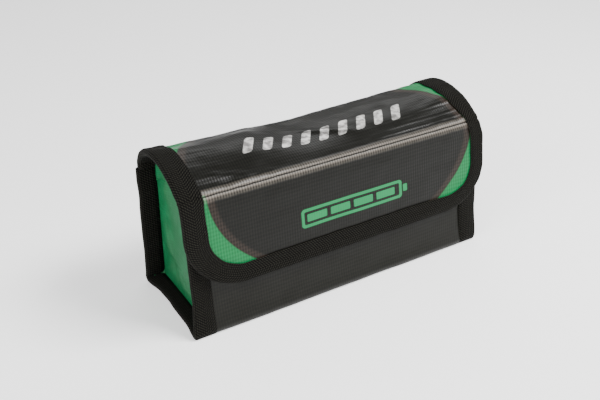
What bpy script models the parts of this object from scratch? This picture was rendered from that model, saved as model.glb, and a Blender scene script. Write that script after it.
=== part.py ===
"""A soft charging and storage case for a model's battery pack.

One strip of coated glass-fibre cloth makes the front wall, the floor and the back wall, and its
continuation is the flap. Two end gussets are set in from the ends, so that each end seam stands
out as a flange, bound with folded tape. The flap turns on the back wall's top edge, creases
along the front top edge, and closes on a hook strip and a loop strip.

X runs along the case, -Y is the front with the flap on it, +Z is up. The origin is the middle of
the footprint on the table. Sizes are in millimetres, and a mesh is scaled to metres when made.
"""

import math

import bmesh
import bpy
from mathutils import Vector
from mathutils.geometry import interpolate_bezier

MM = 0.001

# Body, over the tape
LENGTH = 185.0
FRONT_FOOT = -29.7        # y of the front wall at the floor
BACK_FOOT = 31.5          # y of the back wall at the floor
FRONT_TOP = 69.0          # height of the front wall's raw top edge
BACK_TOP = 75.5
BINDING_BACK_TOP = 72.0   # the end tape stops short of the fold, so that the flap can fold right back
FRONT_LEAN = 0.10         # mm that the front wall leans in for each mm of height
BACK_LEAN = 0.026
FOOT_RADIUS = 3.0         # outer radius of the two long bottom corners
FOLD_RADIUS = 0.4         # least radius of an inner layer there

# Flap, over the skin
FLAP_LENGTH = 183.2       # between the raw side edges, before the tape
FLAP_HEM = 26.9           # height of the raw hem
FLAP_FRONT_SET = 33.3     # how far in front of the origin the flap's plane meets the floor
FLAP_CORNER = 29.0        # radius of the raw lower corners
CREASE = (-23.4, 77.5)    # y and z of the front crease, on the skin's outer face

# Layers
GAP = 0.3                 # clearance between layers that touch in use
TAPE = 0.6
SKIN = 0.6
BOARD = 1.0
LINING = 0.5
FLAP_SKIN = 0.5
FLAP_PADDING = 0.6
FLAP_LINING = 0.5

# Tape
TAPE_LEG = 12.0           # how far the tape reaches over each side of an edge
INNER_LEG = 9.3           # its inner leg on the end flanges, which the gusset limits
RIM_LEG = 10.0

# Gussets
GUSSET_FACE = 82.9        # x of a gusset's outer face
GUSSET = 0.6
GUSSET_BACK_TOP = 73.0

# Closure strips
STRIP_LENGTH = 118.0
STRIP_LOW = 38.6
STRIP_HIGH = 56.6
LOOP_PILE = 0.8
HOOK_PILE = 0.6

# Joints
HINGE_CLEARANCE = 1.2     # from the hinge line to the flap's first edge, along the skin
CREASE_CLEARANCE = 0.6
TAPE_HINGE_START = 5.0    # the flap's tape starts here, so that it can fold right back
TAPE_CREASE_START = 1.0

ARC_STEPS = 5             # facets in a bottom corner
DOME_STEPS = 14           # facets over the flap's dome
BEND_STEPS = 7            # facets from the crease to the flap's flat front
CORNER_STEPS = 6          # facets in a rounded lower corner

CUT_HALF = LENGTH / 2 - TAPE - GAP                # half length of the cloth inside the end tape
SKIN_OUT = TAPE + GAP
SKIN_IN = SKIN_OUT + SKIN
BOARD_OUT = SKIN_IN + GAP
BOARD_IN = BOARD_OUT + BOARD
LINING_OUT = BOARD_IN + GAP
LINING_IN = LINING_OUT + LINING
FLANGE_OUT = SKIN_IN + GAP                        # the gusset's turned edge lies on the skin
FLANGE_IN = FLANGE_OUT + GUSSET
FLANGE_TAPE_OUT = FLANGE_IN + GAP
FLANGE_TAPE_IN = FLANGE_TAPE_OUT + TAPE
ROOM_HALF = GUSSET_FACE - GUSSET - GAP            # half length of what lies between the gussets

FLAP_PAD_OUT = FLAP_SKIN + GAP
FLAP_PAD_IN = FLAP_PAD_OUT + FLAP_PADDING
FLAP_LINING_OUT = FLAP_PAD_IN + GAP
FLAP_IN = FLAP_LINING_OUT + FLAP_LINING
FLAP_HALF = FLAP_LENGTH / 2


# ---------------------------------------------------------------- materials and objects

def finish(name, colour, roughness, metallic=0.0):
    """A plain Principled material."""
    material = bpy.data.materials.new(name)
    material.use_nodes = True
    shader = material.node_tree.nodes["Principled BSDF"]
    shader.inputs["Base Color"].default_value = (*colour, 1.0)
    shader.inputs["Roughness"].default_value = roughness
    shader.inputs["Metallic"].default_value = metallic
    return material


def place(name, bm, material, parent=None):
    """Turns a bmesh in millimetres into a named object in metres, under its joint's empty."""
    bmesh.ops.recalc_face_normals(bm, faces=bm.faces)
    bmesh.ops.scale(bm, vec=(MM, MM, MM), verts=bm.verts)
    origin = parent.location if parent else Vector()
    bmesh.ops.translate(bm, vec=-origin, verts=bm.verts)
    mesh = bpy.data.meshes.new(name)
    bm.to_mesh(mesh)
    bm.free()
    mesh.materials.append(material)
    piece = bpy.data.objects.new(name, mesh)
    piece.parent = parent
    bpy.context.scene.collection.objects.link(piece)
    return piece


def loft(rings):
    """A closed solid through rings of points: a face on the first, extruded to each next one."""
    bm = bmesh.new()
    first = bm.faces.new([bm.verts.new(point) for point in rings[0]])
    face = first
    for ring in rings[1:]:
        grown = bmesh.ops.extrude_face_region(bm, geom=[face])["geom"]
        if face is not first:
            bmesh.ops.delete(bm, geom=[face], context="FACES_ONLY")
        face = next(item for item in grown if isinstance(item, bmesh.types.BMFace))
        for vert, point in zip(face.verts, ring):
            vert.co = point
    return bm


# ---------------------------------------------------------------- body

def front_y(offset, height):
    """y of the front wall, `offset` inside the tape's outer face."""
    lean = math.atan(FRONT_LEAN)
    return FRONT_FOOT + (height * math.sin(lean) + offset) / math.cos(lean)


def back_y(offset, height):
    """y of the back wall, `offset` inside the tape's outer face."""
    lean = math.atan(BACK_LEAN)
    return BACK_FOOT - (height * math.sin(lean) + offset) / math.cos(lean)


def wall_path(offset, back_top=BACK_TOP):
    """(y, z) points down the front wall, along the floor and up the back wall."""
    front_lean = math.atan(FRONT_LEAN)
    back_lean = math.atan(BACK_LEAN)
    radius = max(FOOT_RADIUS - offset, FOLD_RADIUS)
    inset = offset + radius
    front_centre = FRONT_FOOT + inset * (1 + math.sin(front_lean)) / math.cos(front_lean)
    back_centre = BACK_FOOT - inset * (1 + math.sin(back_lean)) / math.cos(back_lean)
    path = [(front_y(offset, FRONT_TOP), FRONT_TOP)]
    for centre, start, end in ((front_centre, math.pi - front_lean, 1.5 * math.pi),
                               (back_centre, 1.5 * math.pi, 2 * math.pi + back_lean)):
        for step in range(ARC_STEPS + 1):
            angle = start + (end - start) * step / ARC_STEPS
            path.append((centre + radius * math.cos(angle), inset + radius * math.sin(angle)))
    path.append((back_y(offset, back_top), back_top))
    return path


def wall_layer(section, first=0, last=None, back_top=BACK_TOP):
    """A section of (x, offset) points carried along the wall path, all of it or a stretch."""
    paths = [wall_path(offset, back_top) for x, offset in section]
    stations = range(len(paths[0]))[first:last]
    return loft([[(x, *path[station]) for (x, offset), path in zip(section, paths)]
                 for station in stations])


def slab_section(half_length, outer, inner):
    return [(-half_length, outer), (half_length, outer), (half_length, inner), (-half_length, inner)]


def end_binding_section(side):
    """The tape folded over an end flange: outer leg, fold and inner leg."""
    end = LENGTH / 2
    points = [(end - TAPE_LEG, 0), (end, 0), (end, FLANGE_TAPE_IN), (end - INNER_LEG, FLANGE_TAPE_IN),
              (end - INNER_LEG, FLANGE_TAPE_OUT), (end - TAPE, FLANGE_TAPE_OUT), (end - TAPE, TAPE),
              (end - TAPE_LEG, TAPE)]
    return [(side * x, offset) for x, offset in points]


def end_panel(offset, x_outer, thickness, side):
    """A flat end wall that fills the wall path, `offset` inside the tape."""
    outline = wall_path(offset, GUSSET_BACK_TOP)
    return loft([[(side * x, y, z) for y, z in outline] for x in (x_outer, x_outer - thickness)])


def gusset(name, side, material):
    """An end wall whose edges turn outwards: a tray, open to the end of the case."""
    panel = place(name, end_panel(FLANGE_OUT, GUSSET_FACE, GUSSET, side), material)
    section = [(side * x, offset) for x, offset in
               ((GUSSET_FACE - GUSSET, FLANGE_OUT), (CUT_HALF, FLANGE_OUT),
                (CUT_HALF, FLANGE_IN), (GUSSET_FACE - GUSSET, FLANGE_IN))]
    turned_edge = wall_layer(section, back_top=GUSSET_BACK_TOP)
    rim = place(name + "_flange", turned_edge, material)
    rim.hide_render = True
    rim.display_type = "WIRE"
    union = panel.modifiers.new("flange", "BOOLEAN")
    union.operation = "UNION"
    union.solver = "EXACT"
    union.object = rim


def rim_u(low, high, fold):
    """A U over an edge, open downwards: (across, down) points. `fold` is the raw edge's height."""
    top = fold + GAP + TAPE
    return [(low - TAPE, top), (high + TAPE, top), (high + TAPE, top - RIM_LEG), (high, top - RIM_LEG),
            (high, fold + GAP), (low, fold + GAP), (low, top - RIM_LEG), (low - TAPE, top - RIM_LEG)]


def front_rim():
    """Tape over the front wall's top edge, between the end bindings."""
    half = LENGTH / 2 - TAPE_LEG - GAP
    across = rim_u(TAPE, LINING_IN + GAP, FRONT_TOP)
    return loft([[(x, front_y(offset, height), height) for offset, height in across]
                 for x in (-half, half)])


def gusset_rim(side):
    """Tape over an end wall's top edge, from the front wall's lining to the back wall's."""
    inner = GUSSET_FACE - 2 * GUSSET - 2 * GAP
    rings = []
    for y, height in ((front_y(LINING_IN + GAP, FRONT_TOP) + TAPE + GAP + LINING, FRONT_TOP),
                      (back_y(LINING_IN + GAP, GUSSET_BACK_TOP), GUSSET_BACK_TOP)):
        rings.append([(side * x, y, z) for x, z in rim_u(inner, GUSSET_FACE + GAP, height)])
    return loft(rings)


def wall_strip(low, high, pile):
    """The loop strip, sewn to the outside of the front wall."""
    half = STRIP_LENGTH / 2
    face = SKIN_OUT - GAP
    section = [(face, low), (face - pile, low), (face - pile, high), (face, high)]
    return loft([[(x, front_y(offset, height), height) for offset, height in section]
                 for x in (-half, half)])


# ---------------------------------------------------------------- flap

class SkinCurve:
    """The flap's outer face seen from the end, measured along its length."""

    def __init__(self, points):
        self.points = [Vector(point) for point in points]
        self.reach = [0.0]
        for start, end in zip(self.points, self.points[1:]):
            self.reach.append(self.reach[-1] + (end - start).length)
        self.length = self.reach[-1]

    def at(self, distance, inside):
        """The (y, z) point `distance` along the curve and `inside` under the skin's face."""
        last = len(self.points) - 2
        leg = next((i for i in range(last + 1) if distance <= self.reach[i + 1]), last)
        tangent = (self.points[leg + 1] - self.points[leg]).normalized()
        point = self.points[leg] + tangent * (distance - self.reach[leg])
        return point.x - tangent.y * inside, point.y + tangent.x * inside


HINGE = (back_y(SKIN_OUT, BACK_TOP), BACK_TOP + GAP)
FLAT_START = 57.0         # height at which the flap's front becomes flat


def flap_plane_y(height):
    return -FLAP_FRONT_SET + FRONT_LEAN * height


def bezier(start, start_handle, end_handle, end, count):
    knots = [Vector((*point, 0.0)) for point in (start, start_handle, end_handle, end)]
    return [point.xy for point in interpolate_bezier(*knots, count)]


def dome_curve():
    """Up from the hinge, over the dome and down to the crease."""
    return SkinCurve(bezier(HINGE, (HINGE[0] - 7.3, HINGE[1] + 13.2),
                            (CREASE[0] + 20.4, CREASE[1] + 13.0), CREASE, 4 * DOME_STEPS + 1))


def front_curve():
    """From the crease round to the flat front, and straight down to the hem."""
    flat = (flap_plane_y(FLAT_START), FLAT_START)
    lead_in = (flap_plane_y(FLAT_START + 10.0), FLAT_START + 10.0)
    bend = bezier(CREASE, (CREASE[0] - 3.0, CREASE[1] - 3.5), lead_in, flat, 4 * BEND_STEPS + 1)
    return SkinCurve(bend + [Vector((flap_plane_y(FLAP_HEM), FLAP_HEM))])


def spread(start, end, steps):
    return [start + (end - start) * step / steps for step in range(steps + 1)]


def dome_layer(curve, outer, inner):
    """One layer of the flap's domed top."""
    rings = []
    for distance in spread(HINGE_CLEARANCE, curve.length - CREASE_CLEARANCE, DOME_STEPS):
        rings.append([(x, *curve.at(distance, inside)) for x, inside in
                      slab_section(FLAP_HALF, outer, inner)])
    return loft(rings)


def flap_tape_section():
    """(inwards from the raw edge, under the skin) points of the tape folded over the flap's edge."""
    leg = TAPE_LEG - TAPE - GAP
    over = -TAPE - GAP
    under = FLAP_IN + GAP + TAPE
    return [(leg, over), (over, over), (over, under), (leg, under),
            (leg, under - TAPE), (-GAP, under - TAPE), (-GAP, -GAP), (leg, -GAP)]


def dome_binding(curve, side):
    rings = []
    for distance in spread(TAPE_HINGE_START, curve.length - TAPE_CREASE_START, DOME_STEPS):
        rings.append([(side * (FLAP_HALF - inwards), *curve.at(distance, inside))
                      for inwards, inside in flap_tape_section()])
    return loft(rings)


def front_stations(curve, start):
    """Distances down the flap's front: close together round the bend and the lower corners."""
    bend_end = curve.reach[-2]
    corner = curve.length - FLAP_CORNER
    turns = [corner + FLAP_CORNER * math.sin(step / CORNER_STEPS * math.pi / 2)
             for step in range(1, CORNER_STEPS + 1)]
    return spread(start, bend_end, BEND_STEPS) + [corner] + turns


def front_half_width(curve, distance):
    """Half the flap's width, which shrinks round the rounded lower corners."""
    into = max(0.0, distance - (curve.length - FLAP_CORNER))
    return FLAP_HALF - FLAP_CORNER + math.sqrt(max(0.0, FLAP_CORNER ** 2 - into ** 2))


def front_layer(curve, outer, inner):
    """One layer of the flap's front."""
    rings = []
    for distance in front_stations(curve, CREASE_CLEARANCE):
        half = front_half_width(curve, distance)
        rings.append([(x, *curve.at(distance, inside)) for x, inside in
                      slab_section(half, outer, inner)])
    return loft(rings)


def front_binding(curve):
    """One tape down the left side, round the corner, along the hem and up the right side."""
    corner = curve.length - FLAP_CORNER
    middle = FLAP_HALF - FLAP_CORNER
    side_stops = spread(TAPE_CREASE_START, curve.reach[-2], BEND_STEPS) + [corner]
    edge = [(-FLAP_HALF, distance, 1.0, 0.0) for distance in side_stops]
    for centre, first in ((-middle, math.pi), (middle, 1.5 * math.pi)):
        for step in range(1, CORNER_STEPS + 1) if first == math.pi else range(CORNER_STEPS):
            angle = first + step / CORNER_STEPS * math.pi / 2
            edge.append((centre + FLAP_CORNER * math.cos(angle), corner - FLAP_CORNER * math.sin(angle),
                         -math.cos(angle), math.sin(angle)))
    edge += [(FLAP_HALF, distance, -1.0, 0.0) for distance in reversed(side_stops)]
    rings = []
    for x, distance, in_x, in_distance in edge:
        rings.append([(x + in_x * inwards, *curve.at(distance + in_distance * inwards, inside))
                      for inwards, inside in flap_tape_section()])
    return loft(rings)


def flap_strip(curve):
    """The hook strip, sewn to the lining inside the flap's front."""
    per_height = math.hypot(1.0, FRONT_LEAN)
    low = curve.length - (STRIP_LOW - FLAP_HEM) * per_height
    high = curve.length - (STRIP_HIGH - FLAP_HEM) * per_height
    face = FLAP_IN + GAP
    section = slab_section(STRIP_LENGTH / 2, face, face + HOOK_PILE)
    return loft([[(x, *curve.at(distance, inside)) for x, inside in section]
                 for distance in (high, low)])


# ---------------------------------------------------------------- the case

def joint_empty(name, line):
    empty = bpy.data.objects.new(name, None)
    empty.location = (0.0, line[0] * MM, line[1] * MM)
    bpy.context.scene.collection.objects.link(empty)
    return empty


def build():
    for item in list(bpy.data.objects):
        bpy.data.objects.remove(item)

    coated = finish("coated_cloth", (0.035, 0.036, 0.032), 0.42)
    green = finish("green_cloth", (0.03, 0.15, 0.07), 0.6)
    tape = finish("binding_tape", (0.012, 0.012, 0.011), 0.9)
    lining = finish("lining_cloth", (0.45, 0.46, 0.44), 0.7)
    board = finish("stiffener", (0.55, 0.55, 0.52), 0.8)
    foam = finish("padding", (0.6, 0.6, 0.58), 0.9)
    strip = finish("closure_strip", (0.015, 0.015, 0.015), 0.95)

    floor_first = ARC_STEPS + 1
    floor_last = floor_first + 2
    place("outer_wrap", wall_layer(slab_section(CUT_HALF, SKIN_OUT, SKIN_IN)), coated)
    place("lining_wrap", wall_layer(slab_section(ROOM_HALF, LINING_OUT, LINING_IN)), lining)
    board_section = slab_section(ROOM_HALF, BOARD_OUT, BOARD_IN)
    place("front_board", wall_layer(board_section, 0, 2), board)
    place("bottom_board", wall_layer(board_section, floor_first, floor_last), board)
    place("back_board", wall_layer(board_section, -2), board)
    place("front_rim_binding", front_rim(), tape)
    place("loop_strip", wall_strip(STRIP_LOW, STRIP_HIGH, LOOP_PILE), strip)
    for word, side in (("left", -1), ("right", 1)):
        gusset(word + "_gusset", side, green)
        panel = end_panel(LINING_IN + GAP, ROOM_HALF, GUSSET, side)
        place(word + "_gusset_lining", panel, lining)
        binding = wall_layer(end_binding_section(side), back_top=BINDING_BACK_TOP)
        place(word + "_end_binding", binding, tape)
        place(word + "_gusset_rim_binding", gusset_rim(side), tape)

    hinge = joint_empty("flap_hinge_axis", HINGE)
    dome = dome_curve()
    place("flap_top_skin", dome_layer(dome, 0.0, FLAP_SKIN), coated, hinge)
    place("flap_top_padding", dome_layer(dome, FLAP_PAD_OUT, FLAP_PAD_IN), foam, hinge)
    place("flap_top_lining", dome_layer(dome, FLAP_LINING_OUT, FLAP_IN), lining, hinge)
    for word, side in (("left", -1), ("right", 1)):
        place("flap_top_" + word + "_binding", dome_binding(dome, side), tape, hinge)

    crease = joint_empty("flap_crease_axis", CREASE)
    front = front_curve()
    place("flap_front_skin", front_layer(front, 0.0, FLAP_SKIN), coated, crease)
    place("flap_front_padding", front_layer(front, FLAP_PAD_OUT, FLAP_PAD_IN), foam, crease)
    place("flap_front_lining", front_layer(front, FLAP_LINING_OUT, FLAP_IN), lining, crease)
    place("flap_front_binding", front_binding(front), tape, crease)
    place("hook_strip", flap_strip(front), strip, crease)


build()
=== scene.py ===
# %% [markdown]
# # A soft safety case for a model's battery pack
# The case is a box of coated glass cloth with a long flap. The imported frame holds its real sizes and
# its two joints: the flap's hinge at the top of the back wall, and the crease along the front top edge.
# Every piece here is built in that frame, in metres: x runs along the case, -y is its front, +z is up.

# %% Load the frame
import math

import bmesh
import bpy
import numpy as np
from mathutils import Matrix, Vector, noise
from mathutils.geometry import interpolate_bezier


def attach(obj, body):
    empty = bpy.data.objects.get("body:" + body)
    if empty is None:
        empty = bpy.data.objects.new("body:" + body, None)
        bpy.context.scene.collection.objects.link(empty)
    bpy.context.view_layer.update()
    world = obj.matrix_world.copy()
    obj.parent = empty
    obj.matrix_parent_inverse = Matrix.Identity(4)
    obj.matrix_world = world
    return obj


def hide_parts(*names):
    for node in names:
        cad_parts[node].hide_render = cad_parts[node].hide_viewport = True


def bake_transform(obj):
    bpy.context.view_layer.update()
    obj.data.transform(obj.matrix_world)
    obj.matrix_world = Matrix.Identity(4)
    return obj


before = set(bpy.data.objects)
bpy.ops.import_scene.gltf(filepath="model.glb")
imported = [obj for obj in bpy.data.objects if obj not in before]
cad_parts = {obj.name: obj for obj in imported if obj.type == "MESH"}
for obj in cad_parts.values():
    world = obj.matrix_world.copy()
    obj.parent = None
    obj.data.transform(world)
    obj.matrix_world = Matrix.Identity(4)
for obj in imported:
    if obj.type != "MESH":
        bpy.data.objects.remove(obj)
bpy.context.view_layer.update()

# %% [markdown]
# ## Camera, floor and light
# A case like this is shown from a little above and to the left, with a moderately long lens. The floor
# is plain and pale. The cloth is glossy, so what it mirrors matters more than how much light there is:
# a wide soft panel above, a tall one at the front right, and a long strip behind, which draws the bright
# lines along the crease.

# %% Camera
mm = 0.001
azimuth = math.radians(-31.37)
elevation = math.radians(30.14)
distance = 0.4503
aim = Vector((-0.0117, 0.0009, 0.0425))
lens = 49.2
back = Vector((math.sin(azimuth) * math.cos(elevation),
               -math.cos(azimuth) * math.cos(elevation),
               math.sin(elevation)))
camera_data = bpy.data.cameras.new("camera")
camera_data.sensor_width = 36.0
camera_data.lens = lens
camera_data.clip_start = 0.01
camera = bpy.data.objects.new("camera", camera_data)
camera.location = aim + back * distance
camera.rotation_euler = back.to_track_quat("Z", "Y").to_euler()
bpy.context.scene.collection.objects.link(camera)
bpy.context.scene.camera = camera
print("camera at", [round(value, 3) for value in camera.location])

# %% Floor, world and lights
def area_light(name, place, target, width, height, power):
    """A rectangular soft light that faces a target point."""
    data = bpy.data.lights.new(name, "AREA")
    data.shape = "RECTANGLE"
    data.size = width
    data.size_y = height
    data.energy = power
    light = bpy.data.objects.new(name, data)
    light.location = place
    light.rotation_euler = (Vector(place) - Vector(target)).to_track_quat("Z", "Y").to_euler()
    bpy.context.scene.collection.objects.link(light)


floor_half = 3.0
floor_drop = 0.2 * mm
floor_bm = bmesh.new()
bmesh.ops.create_grid(floor_bm, x_segments=1, y_segments=1, size=floor_half)
bmesh.ops.translate(floor_bm, vec=(0.0, 0.0, -floor_drop), verts=floor_bm.verts)
floor_mesh = bpy.data.meshes.new("floor")
floor_bm.to_mesh(floor_mesh)
floor_bm.free()
paper = bpy.data.materials.new("floor_paper")
paper.use_nodes = True
paper_shader = paper.node_tree.nodes["Principled BSDF"]
paper_shader.inputs["Base Color"].default_value = (0.93, 0.93, 0.93, 1.0)
paper_shader.inputs["Roughness"].default_value = 0.8
paper_shader.inputs["Emission Color"].default_value = (1.0, 1.0, 1.0, 1.0)
paper_shader.inputs["Emission Strength"].default_value = 0.5
floor_mesh.materials.append(paper)
floor = bpy.data.objects.new("floor", floor_mesh)
bpy.context.scene.collection.objects.link(floor)

world = bpy.data.worlds.new("studio")
world.use_nodes = True
sky = world.node_tree.nodes["Background"]
sky.inputs["Color"].default_value = (1.0, 1.0, 1.0, 1.0)
sky.inputs["Strength"].default_value = 0.5
bpy.context.scene.world = world

area_light("key_panel", (0.36, -0.36, 0.72), (0.0, 0.0, 0.06), 0.42, 0.30, 15.0)
area_light("left_panel", (-0.80, -0.25, 0.40), (0.0, 0.0, 0.04), 0.6, 0.6, 9.0)
area_light("back_panel", (0.50, 0.75, 0.75), (0.0, 0.0, 0.07), 0.9, 0.25, 3.0)
print("floor", floor_half * 2, "m wide")

# %% [markdown]
# ## Writing materials as sums
# A procedural cloth is mostly arithmetic on two lengths, along and across the cloth. `Paint` makes a
# material and its nodes, and `Num` wraps one socket, so that `1 - mask` adds a Math node by itself.

# %% Shader helpers
class Num:
    """A number that varies over a surface: one socket, with Python's arithmetic on it."""

    def __init__(self, paint, socket):
        self.paint = paint
        self.socket = socket

    def do(self, operation, *values):
        sockets = dict(enumerate(values))
        node = self.paint.node("ShaderNodeMath", {"operation": operation}, sockets)
        return Num(self.paint, node.outputs[0])

    def __add__(self, other):
        return self.do("ADD", self, other)

    def __sub__(self, other):
        return self.do("SUBTRACT", self, other)

    def __mul__(self, other):
        return self.do("MULTIPLY", self, other)

    def __truediv__(self, other):
        return self.do("DIVIDE", self, other)

    def __rsub__(self, other):
        return self.do("SUBTRACT", other, self)

    def __abs__(self):
        return self.do("ABSOLUTE", self)

    __radd__ = __add__
    __rmul__ = __mul__

    def power(self, exponent):
        return self.do("POWER", self, exponent)

    def most(self, other):
        return self.do("MAXIMUM", self, other)

    def wave(self, pitch):
        """From 0 to 1 and back once in each pitch."""
        return self.do("SINE", self * (2.0 * math.pi / pitch)) * 0.5 + 0.5

    def step(self, low, high):
        """0 below low, 1 above high, and smooth between."""
        settings = {"interpolation_type": "SMOOTHSTEP"}
        sockets = {"Value": self, "From Min": low, "From Max": high}
        return Num(self.paint, self.paint.node("ShaderNodeMapRange", settings, sockets).outputs[0])


class Paint:
    """One material and its nodes."""

    def __init__(self, name):
        self.material = bpy.data.materials.new(name)
        self.material.use_nodes = True
        self.tree = self.material.node_tree
        self.shader = self.tree.nodes["Principled BSDF"]

    def node(self, kind, settings=(), sockets=()):
        node = self.tree.nodes.new(kind)
        for key, value in dict(settings).items():
            setattr(node, key, value)
        for key, value in dict(sockets).items():
            self.feed(node.inputs[key], value)
        return node

    def feed(self, socket, value):
        if isinstance(value, Num):
            value = value.socket
        if isinstance(value, bpy.types.NodeSocket):
            self.tree.links.new(value, socket)
        else:
            socket.default_value = value

    def cloth_place(self):
        """Lengths along the case and down the cloth, in metres, from the piece's own UV map."""
        uv = self.node("ShaderNodeUVMap", {"uv_map": "cloth"})
        parts = self.node("ShaderNodeSeparateXYZ", {}, {0: uv.outputs[0]})
        return Num(self, parts.outputs[0]), Num(self, parts.outputs[1]), uv.outputs[0]

    def cloud(self, vector, scale, detail=3.0, roughness=0.55):
        sockets = {"Vector": vector, "Scale": scale, "Detail": detail, "Roughness": roughness}
        return Num(self, self.node("ShaderNodeTexNoise", {}, sockets).outputs[0])

    def mix(self, share, first, second):
        settings = {"data_type": "RGBA"}
        sockets = {0: share, 6: first, 7: second}
        return self.node("ShaderNodeMix", settings, sockets).outputs[2]

    def bump(self, height, strength, distance):
        sockets = {"Strength": strength, "Distance": distance, "Height": height}
        self.feed(self.shader.inputs["Normal"], self.node("ShaderNodeBump", {}, sockets).outputs[0])

    def finish(self, tone, roughness, height, strength, distance, **constants):
        """Colour, roughness and relief, and then settings that stay the same all over."""
        self.feed(self.shader.inputs["Base Color"], tone)
        self.feed(self.shader.inputs["Roughness"], roughness)
        self.bump(height, strength, distance)
        for name, value in constants.items():
            self.shader.inputs[constant_names[name]].default_value = value
        return self.material


constant_names = {"specular": "Specular IOR Level", "coat": "Coat Weight", "sheen": "Sheen Weight",
                  "coat_roughness": "Coat Roughness", "sheen_roughness": "Sheen Roughness"}


def colour(red, green, blue):
    """A colour from the usual 0 to 255 scale, made linear."""
    parts = []
    for value in (red, green, blue):
        share = value / 255.0
        parts.append(share / 12.92 if share <= 0.04045 else ((share + 0.055) / 1.055) ** 2.4)
    return (*parts, 1.0)


print("mid grey is", round(colour(128, 128, 128)[0], 3))

# %% [markdown]
# ## The outline that all the cloth follows
# Front wall, floor, back wall and flap are one strip of cloth. So one line, seen from the end of the
# case, describes them all: down the front, under the floor, up the back, over the dome, past the crease
# and down to the hem. Distances along it are counted from the hinge: the body is negative, the flap
# positive. Each layer of cloth is this line moved inwards by its depth.

# %% Sizes of the outline
front_foot = -29.7 * mm
back_foot = 31.5 * mm
front_top = 69.0 * mm
front_lean = math.atan(0.10)
back_lean = math.atan(0.026)
tape_depth = 0.9 * mm
foot_radius = 2.5 * mm
hinge = Vector((28.637, 75.8)) * mm
crease = Vector((-23.4, 77.5)) * mm
flap_plane = -33.3 * mm
flap_hem = 26.9 * mm


def front_wall_y(depth, height):
    """y of the front wall, a depth inside the tape's face."""
    return front_foot + (height * math.sin(front_lean) + depth) / math.cos(front_lean)


def back_wall_y(depth, height):
    """y of the back wall, a depth inside the tape's face."""
    return back_foot - (height * math.sin(back_lean) + depth) / math.cos(back_lean)


def curve_points(start, start_handle, end_handle, end, count):
    """Points along one smooth bend."""
    knots = [Vector((point[0], point[1], 0.0)) for point in (start, start_handle, end_handle, end)]
    return [point.xy for point in interpolate_bezier(*knots, count)]


def wall_points(depth, radius):
    """(y, z) points down the front wall, under the floor and up the back wall to the hinge."""
    inset = depth + radius
    front_centre = front_foot + inset * (1 + math.sin(front_lean)) / math.cos(front_lean)
    back_centre = back_foot - inset * (1 + math.sin(back_lean)) / math.cos(back_lean)
    points = [Vector((front_wall_y(depth, front_top), front_top))]
    for centre, start, end in ((front_centre, math.pi - front_lean, 1.5 * math.pi),
                               (back_centre, 1.5 * math.pi, 2 * math.pi + back_lean)):
        for step in range(9):
            angle = start + (end - start) * step / 8
            points.append(Vector((centre + radius * math.cos(angle), inset + radius * math.sin(angle))))
    points.append(Vector((back_wall_y(depth, hinge.y), hinge.y)))
    return points


def lengths_along(points):
    """How far each point of a line is from its first, along the line."""
    lengths = [0.0]
    for before, after in zip(points, points[1:]):
        lengths.append(lengths[-1] + (after - before).length)
    return lengths


class Line:
    """A line seen from the end of the case, measured along its length."""

    def __init__(self, points, zero=0.0):
        self.points = points
        self.reach = np.array(lengths_along(points)) - zero
        self.first = self.reach[0]
        self.last = self.reach[-1]
        ends = [points[0], *points, points[-1]]
        self.tangents = [(after - before).normalized() for before, after in zip(ends, ends[2:])]

    def at(self, reach, depth=0.0):
        """The (y, z) point at a reach along the line, and a depth inside it."""
        leg = int(np.clip(np.searchsorted(self.reach, reach) - 1, 0, len(self.points) - 2))
        share = (reach - self.reach[leg]) / (self.reach[leg + 1] - self.reach[leg])
        point = self.points[leg].lerp(self.points[leg + 1], share)
        tangent = self.tangents[leg].lerp(self.tangents[leg + 1], min(max(share, 0.0), 1.0)).normalized()
        outward = Vector((tangent.y, -tangent.x))
        return point - outward * depth, outward


def flap_plane_y(height):
    return flap_plane + 0.10 * height


flat_start = 57.0 * mm
dome_points = curve_points(hinge, hinge + Vector((-7.3, 13.2)) * mm,
                           crease + Vector((20.4, 13.0)) * mm, crease, 81)
lead_in = Vector((flap_plane_y(flat_start + 10 * mm), flat_start + 10 * mm))
flat = Vector((flap_plane_y(flat_start), flat_start))
bend_points = curve_points(crease, crease + Vector((-3.0, -3.5)) * mm, lead_in, flat, 41)
hem = Vector((flap_plane_y(flap_hem), flap_hem))
body_line = wall_points(tape_depth, foot_radius)
wrap = Line(body_line + dome_points[1:] + bend_points[1:] + [hem])
hinge_reach = float(wrap.reach[len(body_line) - 1])
wrap = Line(wrap.points, hinge_reach)
crease_reach = float(wrap.reach[len(body_line) + len(dome_points) - 2])
rim_reach = float(wrap.first)
hem_reach = float(wrap.last)
front_foot_reach = float(wrap.reach[5])
back_foot_reach = float(wrap.reach[14])
split_reach = 8.0 * mm
print("rim", round(rim_reach, 4), "crease", round(crease_reach, 4), "hem", round(hem_reach, 4))

# %% [markdown]
# ## How the cloth is not flat
# Coated glass cloth is stiff, so it dents rather than drapes. The dome is proud at both ends, where the
# tape holds it up, and has one broad dent left of the middle, with a low ridge beside it. The crease is
# a scored line with a small roll of cloth on each side. These are heights over the clean outline, and
# every layer of the flap is moved by the same heights, so that the layers stay together.

# %% Heights over the outline
def bell(value, middle, width):
    return math.exp(-((value - middle) / width) ** 2)


def smooth(low, high, value):
    share = min(max((value - low) / (high - low), 0.0), 1.0)
    return share * share * (3 - 2 * share)


def wobble(first, second=0.0, third=0.0):
    """Smooth, seeded noise from -1 to 1."""
    return noise.noise(Vector((first, second, third)))


def ripple(x, reach, along, across, seed):
    """Even, seeded unevenness from -1 to 1, with its own size in each direction."""
    return noise.fractal(Vector((x / along, reach / across, seed)), 0.7, 2.1, 3)


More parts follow.
